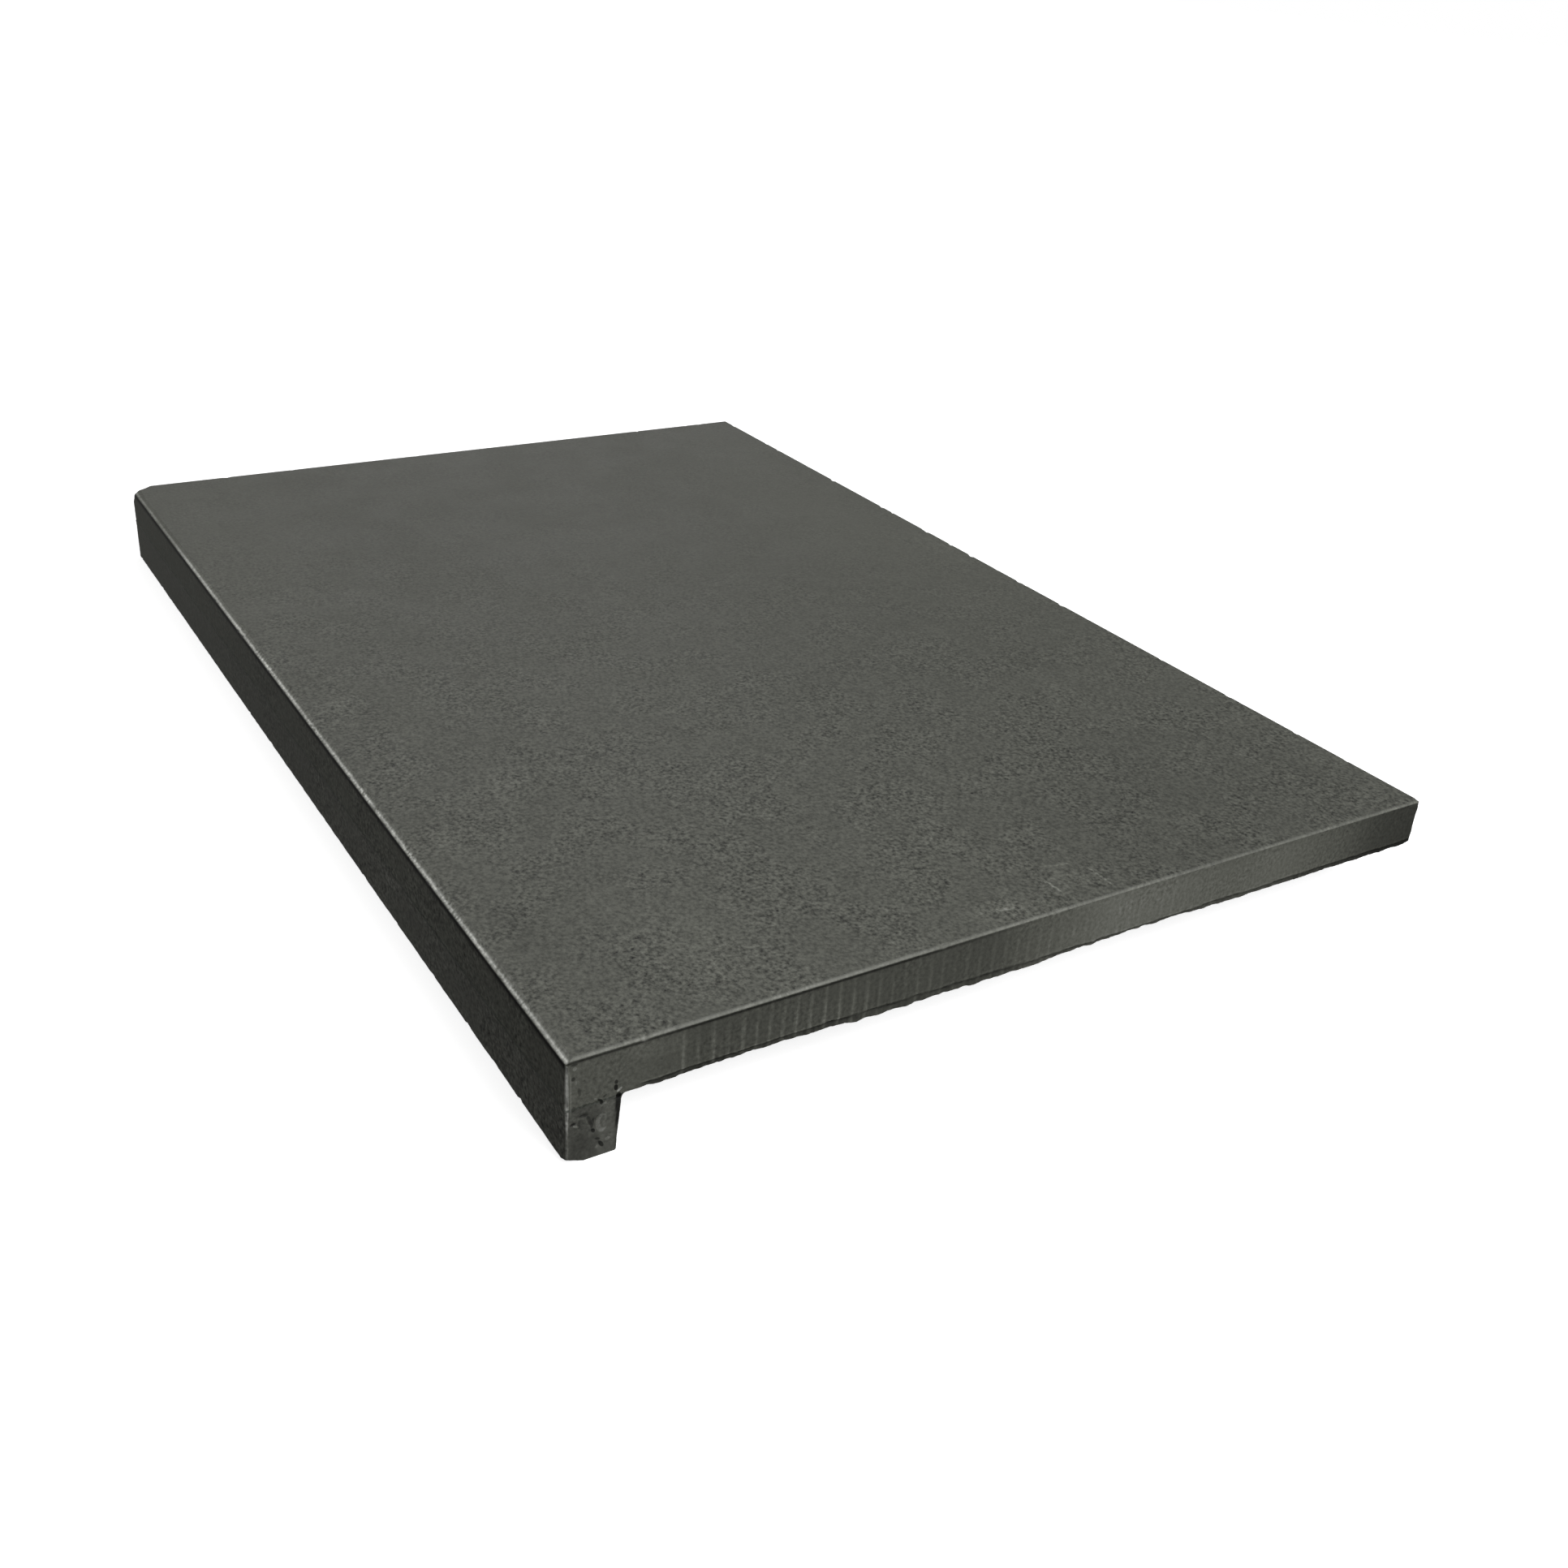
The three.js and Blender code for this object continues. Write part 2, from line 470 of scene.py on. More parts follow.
def slab_tone(points, sides, depths, broken):
    """Each ring point's tone: 1 is plain stone, more is paler and less is darker. Along the edges it
    holds wear, painted highlights and painted shadow lines, and along the ends painted light and
    shade.
    """
    x, y, z = points[..., 0], points[..., 1], points[..., 2]
    depth = np.broadcast_to(depths[:, None], x.shape)
    tones = {
        FRONT_SIDE: front_edge_tone(x, depth),
        RIGHT_SIDE: end_tone(y, z, depth, 1),
        BACK_SIDE: back_tone(x, z, depth),
        LEFT_SIDE: end_tone(y, z, depth, -1),
    }
    tone = np.ones(x.shape)
    for side, side_tone in tones.items():
        tone = np.where((sides == side) & (depth > 0), side_tone, tone)
    under = (depths >= THICKNESS)[:, None] & (np.abs(x) < HALF_LENGTH - 2.2)
    tone = np.where(under, 0.9, tone)
    return np.where(broken, 0.85 + 0.25 * rough_noise(x / 2, y / 2, 135), tone)


def quads(rows, columns):
    """Faces between neighbouring rows of points, with the last column joined to the first."""
    here = np.arange(rows * columns).reshape(rows, columns)
    there = np.roll(here, -1, axis=1)
    faces = np.stack([here[:-1], here[1:], there[1:], there[:-1]], axis=-1)
    return faces.reshape(-1, 4).tolist()


def fill_grid(ring_start, inner_start, upwards):
    """Faces of a grid inside one ring, whose cells along the ring take all its points there."""
    counts = np.array((CELLS_X, CELLS_Y) * 2) * CELL_STATIONS
    *starts, total = np.cumsum([0, *counts]).tolist()

    def edge(side, cell):
        """The ring's points along a cell of one side, from its first corner up to its second."""
        first = starts[side] + cell * CELL_STATIONS[side]
        return [ring_start + (first + i) % total for i in range(CELL_STATIONS[side])]

    def corner(a, b):
        if b == 0:
            return edge(FRONT_SIDE, a)[0]
        if a == CELLS_X:
            return edge(RIGHT_SIDE, b)[0]
        if b == CELLS_Y:
            return edge(BACK_SIDE, CELLS_X - a)[0]
        if a == 0:
            return edge(LEFT_SIDE, CELLS_Y - b)[0]
        return inner_start + (b - 1) * (CELLS_X - 1) + (a - 1)

    faces = []
    for b in range(CELLS_Y):
        for a in range(CELLS_X):
            a_left, b_left = CELLS_X - a - 1, CELLS_Y - b - 1
            loop = edge(FRONT_SIDE, a) if b == 0 else [corner(a, b)]
            loop += edge(RIGHT_SIDE, b) if a_left == 0 else [corner(a + 1, b)]
            loop += edge(BACK_SIDE, a_left) if b_left == 0 else [corner(a + 1, b + 1)]
            loop += edge(LEFT_SIDE, b_left) if a == 0 else [corner(a, b + 1)]
            faces.append(loop if upwards else loop[::-1])
    return faces


def inner_grid(ring):
    """Points of the grid strictly inside a level ring."""
    low, high = ring.min(axis=0), ring.max(axis=0)
    x = np.linspace(low[0], high[0], CELLS_X + 1)[1:-1]
    y = np.linspace(low[1], high[1], CELLS_Y + 1)[1:-1]
    grid_x, grid_y = np.meshgrid(x, y)
    return np.stack([grid_x, grid_y, np.full(grid_x.shape, ring[0, 2])], axis=-1).reshape(-1, 3)


def make_slab():
    rings, sides, depths = slab_rings()
    top_grid, bottom_grid = inner_grid(rings[0]), inner_grid(rings[-1])
    wear_top_edges(rings)
    wear_upright_edges(rings)
    cut_ends(rings, sides, depths)
    cut_back(rings, sides, depths)
    broken = break_far_corner(rings)
    undulate(rings, (depths == 0)[:, None])
    undulate(top_grid, True)
    tones = slab_tone(rings, sides, depths, broken)

    rows, stations = rings.shape[:2]
    points = np.concatenate([rings.reshape(-1, 3), top_grid, bottom_grid])
    inner_tones = [np.ones(len(top_grid)), np.full(len(bottom_grid), 0.9)]
    tones = np.concatenate([tones.ravel(), *inner_tones])
    faces = quads(rows, stations)
    faces += fill_grid(0, rows * stations, upwards=True)
    faces += fill_grid((rows - 1) * stations, rows * stations + len(top_grid), upwards=False)
    return stone_object("honed_slab", points, faces, tones, smooth_angle=32)


# ---- Strip: the skin of a box-shaped lattice, pushed into shape ----

END_STRETCH = 8.0  # the last part of each end has the fine spacing
FINE_STEP = 0.6
COARSE_STEP = 1.7
TOUCHING = 1e-6  # points this near to a face are on it
LEAN = 0.9 * UNDERCUT  # of the inner face at its foot


def lattice_skin(xs, ys, zs):
    """Points and outward faces on the surface of a lattice with those places along each axis."""
    counts = (len(xs), len(ys), len(zs))
    index = np.full(counts, -1)
    edge = np.zeros(counts, bool)
    edge[[0, -1]] = True
    edge[:, [0, -1]] = True
    edge[:, :, [0, -1]] = True
    index[edge] = np.arange(edge.sum())
    i, j, k = np.nonzero(edge)
    points = np.stack([xs[i], ys[j], zs[k]], axis=-1)

    def sheet(block, outward):
        a, b, c, d = block[:-1, :-1], block[1:, :-1], block[1:, 1:], block[:-1, 1:]
        order = (a, b, c, d) if outward else (a, d, c, b)
        return np.stack(order, axis=-1).reshape(-1, 4).tolist()

    faces = sheet(index[-1], True) + sheet(index[0], False)
    faces += sheet(index[:, -1], False) + sheet(index[:, 0], True)
    faces += sheet(index[:, :, -1], True) + sheet(index[:, :, 0], False)
    return points, faces


# Pits, flecks and streaks on the near end: (y, z, half width, half height, turn, tone).
# A turn is in degrees, anticlockwise seen from +X. A tone below 1 is dark, and its mark is a pit,
# painted dark for the shade in it. The two tall pale streaks by the front edge are a painted
# highlight.
END_MARKS = (
    (-199.5, 26.0, 0.75, 17.5, 0, 1.85),
    (-198.2, 29.0, 0.45, 10.0, 0, 1.45),
    (-187.7, 22.9, 1.5, 0.6, -38, 0.20),
    (-187.2, 21.7, 0.7, 1.2, 10, 0.25),
    (-186.0, 24.2, 0.9, 0.5, 25, 0.45),
    (-189.2, 23.9, 1.0, 0.5, -30, 1.50),
    (-185.8, 21.3, 0.7, 0.9, 0, 1.55),
    (-190.1, 11.2, 0.8, 1.1, 20, 0.25),
    (-190.4, 14.4, 0.7, 2.6, -10, 0.50),
    (-187.2, 4.6, 0.9, 1.9, 28, 0.25),
    (-188.5, 7.2, 1.1, 0.6, -20, 0.40),
    (-184.9, 6.0, 1.2, 0.9, 20, 1.75),
    (-188.9, 3.9, 0.8, 0.8, 0, 1.40),
    (-193.4, 18.6, 2.1, 0.8, -5, 0.48),
    (-191.5, 15.8, 0.8, 2.8, 15, 0.52),
    (-195.2, 15.4, 0.7, 2.2, 0, 0.62),
    (-197.4, 16.2, 1.3, 0.6, 12, 0.25),
    (-196.2, 15.0, 1.5, 0.6, -30, 2.10),
    (-196.9, 18.4, 0.8, 1.2, 0, 1.50),
    (-195.2, 29.0, 0.7, 2.2, 8, 0.55),
    (-196.4, 32.9, 0.6, 1.1, 0, 1.45),
    (-197.3, 34.8, 0.9, 1.0, 0, 0.42),
    (-196.8, 38.7, 0.9, 0.9, 20, 1.75),
    (-196.9, 40.4, 1.5, 0.6, 0, 0.48),
    (-197.2, 22.5, 0.8, 1.4, 0, 0.62),
    (-193.2, 23.0, 1.0, 0.7, 0, 0.62),
    (-182.0, 28.4, 0.8, 1.1, 0, 0.25),
    (-182.1, 26.2, 0.9, 1.5, 0, 0.12),
    (-181.1, 22.6, 1.2, 1.5, 0, 0.08),
    (-180.8, 24.9, 1.4, 0.6, 35, 3.20),
    (-166.0, 37.5, 15.0, 5.5, -8, 1.13),
)
PIT_DEPTH = 0.5
FOOT_CHIP = (5.0, 6.4, 2.6)  # along the front edge, along the end and up
SPALL = (-187.0, 13.4, 2.5, 4.4)  # the shell-shaped spall's centre and half sizes
SPALL_DEPTH = 0.45


def turned_ellipse(y, z, mark):
    """1 in the middle of a mark, 0 from its rim outwards."""
    turn = math.radians(mark[4])
    across, up = y - mark[0], z - mark[1]
    along_width = across * math.cos(turn) + up * math.sin(turn)
    along_height = up * math.cos(turn) - across * math.sin(turn)
    return np.clip(1 - (along_width / mark[2]) ** 2 - (along_height / mark[3]) ** 2, 0, 1)


def pit_depth(y, z):
    """Depth of the pits and the spall on the near end."""
    depth = np.zeros(y.shape)
    for mark in END_MARKS:
        if mark[5] < 1:
            depth = np.maximum(depth, PIT_DEPTH * (1 - mark[5]) * turned_ellipse(y, z, mark) ** 0.5)
    dish = turned_ellipse(y, z, (*SPALL, 0))
    return np.maximum(depth, SPALL_DEPTH * smooth(dish * 2) * smooth((SPALL[0] + 1 - y) / 2.5))


def strip_lattice():
    """The strip as a plain box: points, faces and where each point sits."""
    ends = np.arange(0, END_STRETCH, FINE_STEP)
    middle_count = round(2 * (HALF_LENGTH - END_STRETCH) / COARSE_STEP)
    middle = np.linspace(-HALF_LENGTH + END_STRETCH, HALF_LENGTH - END_STRETCH, middle_count)
    xs = np.concatenate([-HALF_LENGTH + ends, middle, (HALF_LENGTH - ends)[::-1]])
    spans = [(STRIP_LOW[axis], STRIP_HIGH[axis]) for axis in (1, 2)]
    ys, zs = (np.linspace(low, high, round((high - low) / FINE_STEP) + 1) for low, high in spans)
    points, faces = lattice_skin(xs, ys, zs)
    x, y, z = points.T.copy()
    at = SimpleNamespace(x=x, y=y, z=z, out=np.sign(x), height=z - STRIP_LOW[2])
    at.from_end, at.from_front, at.from_inner = HALF_LENGTH - np.abs(x), y - FRONT, STRIP_INNER - y
    at.on_end, at.on_front, at.on_inner = (
        distance < TOUCHING for distance in (at.from_end, at.from_front, at.from_inner)
    )
    return points, faces, at


def bevel(points, limit, *faces):
    """Bevels the edge between two faces, each given as (distance from it, axis, way to move)."""
    over = np.clip(limit - sum(distance for distance, _, _ in faces), 0, None) / 2
    for _, axis, way in faces:
        points[:, axis] += way * over


def ease_strip_edges(points, at):
    """Eases and chips the strip's two foot edges and its upright edges."""
    front, inner = (at.from_front, 1, 1), (at.from_inner, 1, -1)
    foot, end = (at.height, 2, 1), (at.from_end, 0, -at.out)
    outer_limit = FOOT_ARRIS * (0.6 + 0.12 * rough_noise(at.x / 4, 0, 201))
    bevel(points, outer_limit + bites(at.x, -HALF_LENGTH, HALF_LENGTH, 14, 0.9, 202), front, foot)
    inner_limit = 0.30 + 0.20 * rough_noise(at.x / 3, 0, 205)
    chips = bites(at.x, -HALF_LENGTH, HALF_LENGTH - 14, 12, 1.2, 206)
    bevel(points, inner_limit + chips, inner, foot)
    front_limit = 0.4 + 0.2 * rough_noise(at.z / 3, 0, 208)
    bevel(points, front_limit + bites(at.z, 0, STRIP_HIGH[2], 6, 0.5, 209), end, front)
    fade = smooth(at.height / 8) * smooth((STRIP_HIGH[2] - at.z) / 2)
    bevel(points, (0.7 + 0.3 * rough_noise(at.z / 2.5, 0, 211)) * fade, end, (at.from_inner, 1, 0))


def break_foot_corner(points, at):
    """Breaks off the near end's outer foot corner."""
    normal = np.array([-1, 1, 1]) / np.array(FOOT_CHIP)
    rough = 0.06 * rough_noise(at.y / 2, at.x / 2, 213)
    break_off(points, (HALF_LENGTH, FRONT, STRIP_LOW[2]), normal, rough)


def roughen_strip(points, at):
    """Sawn texture on the strip's faces, and the near end's pits and spall."""
    rough = 0.05 * (1 + rough_noise(at.y / 2.2, at.z / 2.2, 214))
    edge_fade = smooth(at.from_front / 1.5) * smooth(at.from_inner / 1.5)
    pits = pit_depth(at.y, at.z) * smooth(at.from_front / 0.8)
    end_inset = rough * edge_fade + np.where(at.x > 0, pits, 0)
    points[:, 0] -= np.where(at.on_end, at.out * end_inset, 0)
    inner_marks = 0.06 * (1 + noise(at.x / 3.1, at.z / 40, 216)) * smooth(at.from_end / 3)
    points[:, 1] -= np.where(at.on_inner & (at.height > 1.5), inner_marks, 0)
    front_fade = smooth(at.from_end / 2) * smooth((at.height - FOOT_ARRIS) / 2)
    front_marks = 0.03 * (1 + rough_noise(at.x / 9, at.z / 9, 218)) * front_fade
    points[:, 1] += np.where(at.on_front, front_marks, 0)


def strip_tone(at):
    """Each point's tone. The ends have a painted highlight along their outer edge and painted shade
    along their inner one.
    """
    mottle = 0.98 + 0.14 * rough_noise(at.y / 2.6, at.z / 3.4, 221)
    # Painted highlights along the ends' outer edge.
    outer_highlight = 2.0 * np.exp(-(((at.from_front - 0.2) / 0.6) ** 2))
    second_highlight = 0.22 * np.exp(-(((at.from_front - 1.8) / 0.3) ** 2)) * smooth((at.z - 10) / 4)
    # Painted shade along the ends' inner edge, widest and darkest near the top.
    dark_width = 0.7 + 1.8 * (at.height / STRIP_HIGH[2]) ** 1.5
    darkness = 0.30 + 0.58 * smooth((at.height - 6) / 6)
    inner_edge_shade = 1 - darkness * smooth((dark_width - at.from_inner) / 0.5 + 0.5)
    inner_edge_shade = inner_edge_shade * (1 + 0.40 * between(at.y, -186, -180, 2.5))
    foot_dark = 1 - 0.18 * between(at.y, -197, -193.5, 1.5) * smooth((12 - at.z) / 3)
    near_tone = mottle * foot_dark * (1 + outer_highlight + second_highlight) * inner_edge_shade
    far_tone = mottle * (1 + outer_highlight) * inner_edge_shade
    end_face = np.where(at.x > 0, near_tone, far_tone)
    tone = np.where(at.on_end, end_face, 1.04 * drop_face_tone(at.x))
    tone = np.where(at.on_inner, 0.80 + 0.10 * noise(at.x / 3.1, at.z / 40, 216), tone)
    return tone * (1 + 0.15 * np.clip(1 - at.height, 0, 1))


def make_strip():
    points, faces, at = strip_lattice()
    # The inner face leans in below the bead.
    lean = np.clip(1 - at.height / (BEAD_FOOT - STRIP_LOW[2]), 0, 1)
    points[:, 1] -= LEAN * lean * at.from_front / (STRIP_INNER - FRONT)
    ease_strip_edges(points, at)
    break_foot_corner(points, at)
    roughen_strip(points, at)
    return stone_object("sawn_strip", points, faces, strip_tone(at), smooth_angle=35)


# ---- Bond: a thin layer of resin that ends in a hollow bead in the inner corner ----

BOND_STEP = 1.0
BEAD_POINTS = 12
SCRAPED = 0.03


def bond_section():
    """The bond's outline as (y, z) points, anticlockwise seen from +X, and which are the bead's."""
    run, drop = BEAD_BACK - STRIP_INNER, UNDERSIDE - BEAD_FOOT
    outline = [(FRONT, STRIP_HIGH[2]), (STRIP_INNER, STRIP_HIGH[2])]
    turns = np.linspace(0, math.pi / 2, BEAD_POINTS)
    for turn in turns:
        y, z = STRIP_INNER + run * (1 - math.cos(turn)), BEAD_FOOT + drop * math.sin(turn)
        outline.append((y, z))
    outline += [(FRONT, UNDERSIDE)]
    is_bead = [False] * 2 + [True] * BEAD_POINTS + [False]
    return np.array(outline), np.array(is_bead)


def bond_rings(section, is_bead, count):
    """Copies of the section along the part, with a bead that shrinks and swells a little."""
    rings = np.zeros((count, len(section), 3))
    rings[..., 0] = np.linspace(-HALF_LENGTH, HALF_LENGTH, count)[:, None]
    rings[..., 1:] = section[None]
    x, y, z = (rings[..., axis].copy() for axis in range(3))

    # The front edge is scraped back a little.
    on_front = np.abs(y - FRONT) < TOUCHING
    rings[..., 1] += np.where(on_front, SCRAPED + SCRAPED * rough_noise(x / 6, 0, 231), 0)

    # Each foot of the bead stays on its stone, and the rest is hollowed towards the corner.
    shrink = np.where(is_bead[None], 0.50 + 0.20 * rough_noise(x / 9, z / 3, 234), 0)
    on_slab, on_strip = np.abs(z - UNDERSIDE) < TOUCHING, np.abs(y - STRIP_INNER) < TOUCHING
    rings[..., 1] += np.where(on_strip, 0, shrink * (STRIP_INNER - y))
    rings[..., 2] += np.where(on_slab, 0, shrink * (UNDERSIDE - z))

    # The ends are scraped a little hollow.
    rings[0, :, 0] += SCRAPED
    rings[-1, :, 0] -= SCRAPED
    return rings


def make_bond():
    section, is_bead = bond_section()
    count = round(2 * HALF_LENGTH / BOND_STEP) + 1
    points = bond_rings(section, is_bead, count).reshape(-1, 3)
    index = np.arange(len(points)).reshape(count, -1)
    faces = [face[::-1] for face in quads(count, len(section))]
    faces += [index[-1].tolist(), index[0][::-1].tolist()]
    tones = 1 + 0.15 * rough_noise(points[:, 0] / 4, points[:, 1] / 2, 237)
    return stone_object("resin_bond", points, faces, tones, smooth_angle=40)


# ---- Materials ----


def put(tree, kind, inputs=None, **settings):
    """Adds a node with its settings, and sets or links its inputs."""
    made = tree.nodes.new(kind)
    for name, value in settings.items():
        setattr(made, name, value)
    for name, value in (inputs or {}).items():
        socket = made.inputs[name]
        if isinstance(value, bpy.types.NodeSocket):
            tree.links.new(value, socket)
        else:
            socket.default_value = value
    return made


def maths(tree, operation, a, b=0.0, c=0.0):
    return put(tree, "ShaderNodeMath", {0: a, 1: b, 2: c}, operation=operation).outputs[0]


def spread(tree, value, low, high, to_low, to_high):
    """Maps low..high to to_low..to_high, smoothly and clamped."""
    names = ("Value", "From Min", "From Max", "To Min", "To Max")
    inputs = dict(zip(names, (value, low, high, to_low, to_high)))
    return put(tree, "ShaderNodeMapRange", inputs, interpolation_type="SMOOTHSTEP").outputs[0]


def position(tree):
    """A point's place in the part's frame, in millimetres."""
    inputs = {0: put(tree, "ShaderNodeTexCoord").outputs["Object"], "Scale": 1 / MM}
    return put(tree, "ShaderNodeVectorMath", inputs, operation="SCALE").outputs[0]


def blobs(tree, place, size, detail=0.0, roughness=0.5):
    """Noise, 0 to 1 about 0.5, with blobs of that many millimetres."""
    inputs = {"Vector": place, "Scale": 1 / size, "Detail": detail, "Roughness": roughness}
    return put(tree, "ShaderNodeTexNoise", inputs).outputs["Fac"]


def dots(tree, place, cell, radius, share, seed):
    """1 inside small round dots, one in some of the cells of that many millimetres."""
    far_off = {0: place, 1: (seed, 2 * seed, 3 * seed)}
    offset = put(tree, "ShaderNodeVectorMath", far_off, operation="ADD").outputs[0]
    cells = put(tree, "ShaderNodeTexVoronoi", {"Vector": offset, "Scale": 1 / cell})
    near = spread(tree, cells.outputs["Distance"], 0.6 * radius / cell, radius / cell, 1, 0)
    pick = put(tree, "ShaderNodeSeparateColor", {"Color": cells.outputs["Color"]}).outputs[0]
    return maths(tree, "MULTIPLY", near, maths(tree, "LESS_THAN", pick, share))


def patch(tree, place, centre, half, turn=0.0, rim=1.0, about="Z_AXIS"):
    """1 in the middle of a soft-edged ellipsoid with those half sizes and that turn, 0 outside."""
    ends = {0: place, 1: centre}
    moved = put(tree, "ShaderNodeVectorMath", ends, operation="SUBTRACT").outputs[0]
    rotation = {"Vector": moved, "Angle": -turn}
    turned = put(tree, "ShaderNodeVectorRotate", rotation, rotation_type=about).outputs[0]
    scaled = put(tree, "ShaderNodeVectorMath", {0: turned, 1: half}, operation="DIVIDE").outputs[0]
    length = put(tree, "ShaderNodeVectorMath", {0: scaled}, operation="LENGTH").outputs["Value"]
    return spread(tree, length, 1 - rim, 1, 1, 0)


def near_end_marks(tree, place):
    """Brightness of the near end's pits, flecks and spall, with painted shade in the pits and a
    painted highlight on the spall and along the front edge.
    """
    total = spall_crescent(tree, place)
    for y, z, half_width, half_height, turn, tone in END_MARKS:
        centre, half = (HALF_LENGTH, y, z), (3, half_width, half_height)
        inside = patch(tree, place, centre, half, math.radians(turn), rim=0.4, about="X_AXIS")
        total = maths(tree, "MULTIPLY", total, spread(tree, inside, 0, 1, 1, tone))
    return total


def spall_crescent(tree, place):
    """The spall catches light on its front side and is plain on its back side."""
    y, z, half_width, half_height = SPALL
    whole = patch(tree, place, (HALF_LENGTH, y, z), (3, half_width, half_height), rim=0.3)
    hollow_half = (3, half_width * 0.85, half_height * 0.8)
    hollow = patch(tree, place, (HALF_LENGTH, y + 0.9, z + 0.2), hollow_half, rim=0.5)
    crescent = maths(tree, "MULTIPLY", whole, spread(tree, hollow, 0, 1, 1, 0.25))
    return spread(tree, crescent, 0, 1, 1, 2.1)


def product(tree, values):
    total = values[0]
    for value in values[1:]:
        total = maths(tree, "MULTIPLY", total, value)
    return total


def new_tree(name):
    material = bpy.data.materials.new(name)
    material.use_nodes = True
    tree = material.node_tree
    tree.nodes.clear()
    return material, tree


def finish_material(tree, colour, brightness, height, depth, roughness, specular):
    """A Principled shader of one colour times a brightness pattern, with a bump of that depth."""
    channels = dict.fromkeys(range(3), brightness)
    grey = put(tree, "ShaderNodeCombineColor", channels).outputs[0]
    inputs = {0: 1.0, 6: grey, 7: (*colour, 1)}
    tinted = put(tree, "ShaderNodeMix", inputs, data_type="RGBA", blend_type="MULTIPLY").outputs[2]
    # Places with wear and dust, and painted highlights, are greyer than the stone.
    saturation = spread(tree, brightness, 1.2, 3.5, 1, 0.5)
    greyed = {"Color": tinted, "Saturation": saturation}
    tinted = put(tree, "ShaderNodeHueSaturation", greyed).outputs[0]
    relief = {"Strength": 1.0, "Distance": depth * MM, "Height": height}
    bump = put(tree, "ShaderNodeBump", relief).outputs[0]
    shader_inputs = {
        "Base Color": tinted,
        "Roughness": roughness,
        "Specular IOR Level": specular,
        "Normal": bump,
    }
    shader = put(tree, "ShaderNodeBsdfPrincipled", shader_inputs).outputs[0]
    put(tree, "ShaderNodeOutputMaterial", {"Surface": shader})


# Soft patches on the walking face, of painted light and shade and of its finish: (x, y, half length,
# half width, brightness).
FINISH_AND_PAINTED_LIGHT = (
    # Painted light, brighter towards the far end, and painted shade towards the back of the near
    # end:
    (-120, 190, 240, 120, 1.14),
    (-180, -200, 250, 110, 1.12),
    (-300, -165, 80, 60, 1.06),
    (300, 110, 160, 150, 0.87),
    # Patches of its finish:
    (255, -130, 48, 34, 1.09),
    (264, -128, 20, 13, 1.08),
    (291, -20, 12, 24, 1.13),
    (282, 21, 17, 16, 1.10),
    (265, 88, 16, 20, 1.07),
    (255, 172, 32, 13, 0.94),
    (175, 132, 28, 12, 1.08),
    (225, 132, 24, 18, 1.07),
    (115, 138, 20, 15, 0.92),
    (65, 116, 20, 5, 1.08),
    (128, -148, 26, 12, 1.08),
    (162, -183, 18, 8, 1.10),
    (70, -165, 18, 11, 1.11),
    (27, -182, 12, 14, 1.10),
    (225, -184, 32, 13, 0.89),
    (-32, -16, 32, 7, 1.06),
    (-35, 190, 36, 11, 1.08),
    (-225, -176, 45, 6, 1.05),
)
# Scratches and specks on it: (x, y, half length, half width, turn in degrees, brightness).
SCUFFS = (
    (288, 31, 12, 0.9, 0, 1.85),
    (286, 9.5, 7, 0.9, 2, 1.75),
    (274, 22, 11, 0.9, 76, 1.60),
    (290, -19, 9, 1.4, 80, 1.55),
    (262, -100, 4, 1.5, 70, 1.30),
    (173, 83, 1.7, 1.3, 0, 1.60),
    (45, 152, 1.8, 1.0, 0, 1.35),
    (80, 110, 2.0, 1.0, 0, 1.30),
    (-95, -65, 2.2, 1.2, 0, 1.25),
    (82, -44, 1.4, 1.0, 0, 1.35),
    (236, -12, 1.3, 1.0, 0, 1.35),
)


def walking_face_marks(tree, place):
    """Haze, scuffs and specks on the walking face, and broad painted light and shade across it, as
    one brightness pattern.
    """
    cloudy = spread(tree, blobs(tree, place, 9, 3, 0.6), 0.35, 0.65, 0.45, 1.55)
    total = 1.0
    for x, y, half_length, half_width, tone in FINISH_AND_PAINTED_LIGHT:
        inside = patch(tree, place, (x, y, TOP), (half_length, half_width, 6), rim=0.8)
        if half_length < 100:
            inside = maths(tree, "MULTIPLY", inside, cloudy)
        change = maths(tree, "MULTIPLY_ADD", inside, tone - 1, 1.0)
        total = maths(tree, "MULTIPLY", change, total)
    for x, y, half_length, half_width, turn, tone in SCUFFS:
        half = (half_length, half_width, 3)
        line = patch(tree, place, (x, y, TOP), half, math.radians(turn), rim=0.7)
        total = maths(tree, "MULTIPLY", total, spread(tree, line, 0, 1, 1, tone))
    return total


def drop_face_marks(tree, place):
    """A hairline and a hazy patch on the drop face."""
    haze = patch(tree, place, (136, FRONT, 16), (18, 3, 7))
    total = maths(tree, "MULTIPLY_ADD", haze, 0.22, 1.0)
    hairline = patch(tree, place, (250, FRONT, 30), (23, 3, 0.35), rim=0.8)
    return maths(tree, "ADD", total, maths(tree, "MULTIPLY", hairline, 0.35))


def grain_contrast(tree, place):
    """The grain stands out most towards the near end, where the finish is coarsest."""
    parts = put(tree, "ShaderNodeSeparateXYZ", {0: place})
    sideways = maths(tree, "MULTIPLY", parts.outputs["Y"], 0.45)
    along = maths(tree, "SUBTRACT", parts.outputs["X"], sideways)
    on_face = spread(tree, along, -200, 180, 0.75, 2.7)
    patchy = spread(tree, blobs(tree, place, 24, 1.0), 0.35, 0.65, 0.70, 1.25)
    on_face = maths(tree, "MULTIPLY", on_face, patchy)
    from_middle = maths(tree, "ABSOLUTE", parts.outputs["X"])
    end = spread(tree, from_middle, HALF_LENGTH - 1.4, HALF_LENGTH - 0.8, 1, 0.5)
    return maths(tree, "MULTIPLY", on_face, end)


